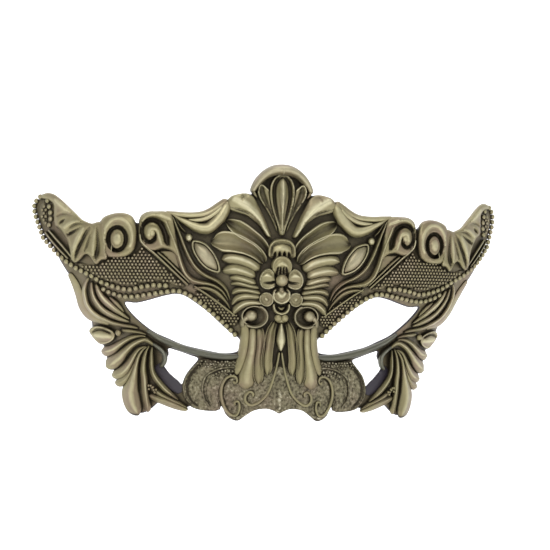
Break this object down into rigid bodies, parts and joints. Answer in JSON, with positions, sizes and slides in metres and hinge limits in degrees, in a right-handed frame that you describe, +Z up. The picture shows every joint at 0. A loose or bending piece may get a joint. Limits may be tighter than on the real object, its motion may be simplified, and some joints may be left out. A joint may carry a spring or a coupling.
{
  "type": "venetian masquerade mask",
  "caption": "Half mask that covers the brow, nose and cheeks, with a thin curved shell, two eye openings and cast leaf, scroll and bead ornament in antique brass paint.",
  "frame": {"origin": "centre of the back face of the nose bridge, where the mask rests on the wearer's nose", "axes": "+X to the wearer's left, +Y back into the wearer's face, +Z up, so the decorated front faces -Y"},
  "size_m": [0.2004, 0.0617, 0.104],
  "materials": {
    "bare_plastic": "unpainted violet-black moulded plastic, satin",
    "antique_brass": "antique brass paint with a dark wash in the recesses",
    "pale_brass": "antique brass paint rubbed pale on the high points",
    "dark_bronze": "antique brass paint with a heavy brown wash",
    "stippled_brass": "antique brass paint on a fine dotted ground",
    "grey_green": "smooth grey-green metallic paint"
  },
  "bodies": {
    "root": {"face_shell": "bare_plastic", "crest_hood": "dark_bronze", "crest_palmette": "pale_brass", "clasp_upper": "antique_brass", "clasp_lower": "antique_brass", "flower_petals": "pale_brass", "flower_bead": "pale_brass", "calyx_cup": "antique_brass", "calyx_knot": "antique_brass", "drop_bead": "pale_brass", "nose_plate": "stippled_brass", "fan_left": "pale_brass", "fan_right": "pale_brass", "nose_scroll_left": "dark_bronze", "nose_scroll_right": "dark_bronze", "nose_tassels_left": "antique_brass", "nose_tassels_right": "antique_brass", "nose_filigree_left": "pale_brass", "nose_filigree_right": "pale_brass", "nose_c_scroll_left": "pale_brass", "nose_c_scroll_right": "pale_brass", "cheek_disc_left": "stippled_brass", "cheek_disc_right": "stippled_brass", "cheek_medallion_left": "stippled_brass", "cheek_medallion_right": "stippled_brass", "eye_rim_left": "grey_green", "eye_rim_right": "grey_green", "brow_drape_left": "antique_brass", "brow_drape_right": "antique_brass", "brow_scroll_left": "antique_brass", "brow_scroll_right": "antique_brass", "gem_left": "dark_bronze", "gem_right": "dark_bronze", "gem_bezel_left": "pale_brass", "gem_bezel_right": "pale_brass", "wing_scroll_left": "antique_brass", "wing_scroll_right": "antique_brass", "wing_leaf_left": "antique_brass", "wing_leaf_right": "antique_brass", "wing_tip_pad_left": "stippled_brass", "wing_tip_pad_right": "stippled_brass", "lid_pad_left": "stippled_brass", "lid_pad_right": "stippled_brass", "brow_pad_left": "stippled_brass", "brow_pad_right": "stippled_brass", "bead_rows_left": "pale_brass", "bead_rows_right": "pale_brass", "cheek_fan_left": "antique_brass", "cheek_fan_right": "antique_brass", "cheek_leaf_left": "antique_brass", "cheek_leaf_right": "antique_brass", "cheek_curl_left": "antique_brass", "cheek_curl_right": "antique_brass", "strap_lug_left": "bare_plastic", "strap_lug_right": "bare_plastic"}
  },
  "joints": []
}
